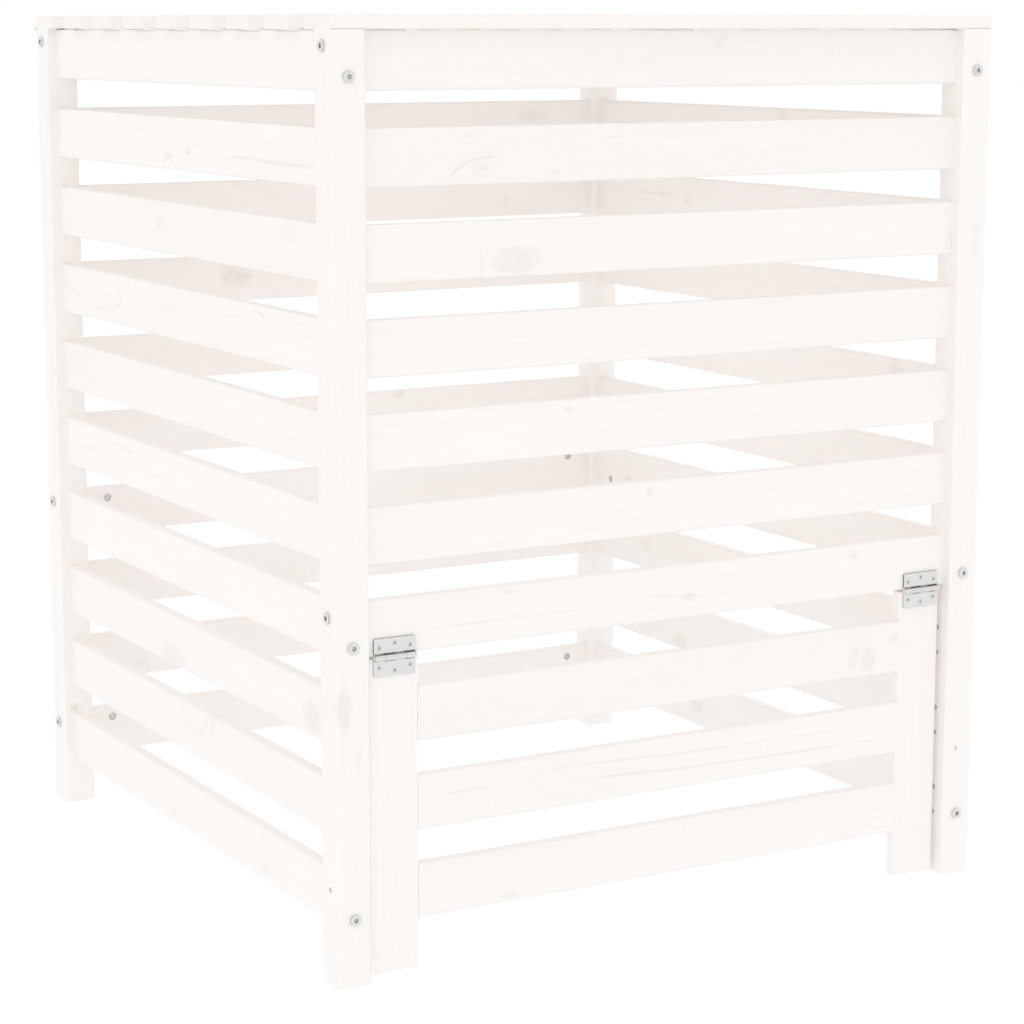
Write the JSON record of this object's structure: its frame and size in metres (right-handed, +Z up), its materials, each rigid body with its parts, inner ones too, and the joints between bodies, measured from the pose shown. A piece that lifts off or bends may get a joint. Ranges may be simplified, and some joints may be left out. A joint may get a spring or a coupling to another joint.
{
  "type": "compost bin",
  "caption": "Square free-standing garden compost bin of slatted white-stained wood, with a hinged slatted lid and a hinged clearing door low at the front.",
  "frame": {"origin": "on the ground, midway between the four posts", "axes": "+Z up; +Y from the front, where the clearing door is, to the back; +X to the right seen from the front"},
  "size_m": [0.8298, 0.8327, 0.995],
  "materials": {
    "white_stained_wood": "solid pine with a thin white stain, matt, grain and knots showing through",
    "bare_wood": "bare fluted beech dowels",
    "zinc_plated_steel": "bright zinc-plated steel hinges, bolts, nuts and screws"
  },
  "bodies": {
    "frame": {"back_slat_1": "white_stained_wood", "back_slat_10": "white_stained_wood", "back_slat_2": "white_stained_wood", "back_slat_3": "white_stained_wood", "back_slat_4": "white_stained_wood", "back_slat_5": "white_stained_wood", "back_slat_6": "white_stained_wood", "back_slat_7": "white_stained_wood", "back_slat_8": "white_stained_wood", "back_slat_9": "white_stained_wood", "barrel_nuts": "zinc_plated_steel", "door_hinge_frame_leaves": "zinc_plated_steel", "door_hinge_pins": "zinc_plated_steel", "frame_bolts": "zinc_plated_steel", "front_slat_1": "white_stained_wood", "front_slat_2": "white_stained_wood", "front_slat_3": "white_stained_wood", "front_slat_4": "white_stained_wood", "front_slat_5": "white_stained_wood", "front_slat_6": "white_stained_wood", "front_slat_7": "white_stained_wood", "left_slat_1": "white_stained_wood", "left_slat_10": "white_stained_wood", "left_slat_2": "white_stained_wood", "left_slat_3": "white_stained_wood", "left_slat_4": "white_stained_wood", "left_slat_5": "white_stained_wood", "left_slat_6": "white_stained_wood", "left_slat_7": "white_stained_wood", "left_slat_8": "white_stained_wood", "left_slat_9": "white_stained_wood", "lid_hinge_frame_leaves": "zinc_plated_steel", "lid_hinge_pins": "zinc_plated_steel", "post_back_left": "white_stained_wood", "post_back_right": "white_stained_wood", "post_front_left": "white_stained_wood", "post_front_right": "white_stained_wood", "right_slat_1": "white_stained_wood", "right_slat_10": "white_stained_wood", "right_slat_2": "white_stained_wood", "right_slat_3": "white_stained_wood", "right_slat_4": "white_stained_wood", "right_slat_5": "white_stained_wood", "right_slat_6": "white_stained_wood", "right_slat_7": "white_stained_wood", "right_slat_8": "white_stained_wood", "right_slat_9": "white_stained_wood", "slat_dowels": "bare_wood"},
    "door": {"door_dowels": "bare_wood", "door_hinge_door_leaves": "zinc_plated_steel", "door_slat_1": "white_stained_wood", "door_slat_2": "white_stained_wood", "door_slat_3": "white_stained_wood", "door_stile_left": "white_stained_wood", "door_stile_right": "white_stained_wood"},
    "lid": {"lid_batten_left": "white_stained_wood", "lid_batten_middle": "white_stained_wood", "lid_batten_right": "white_stained_wood", "lid_boards": "white_stained_wood", "lid_hinge_lid_leaves": "zinc_plated_steel"}
  },
  "joints": [
    {"name": "door_swing", "type": "hinge", "parent": "frame", "child": "door", "pos_m": [0, -0.404, 0.3435], "axis": [-1, 0, 0], "range_deg": [-9, 180]},
    {"name": "lid_swing", "type": "hinge", "parent": "frame", "child": "lid", "pos_m": [0, 0.4153, 0.98], "axis": [-1, 0, 0], "range_deg": [0, 180]}
  ]
}
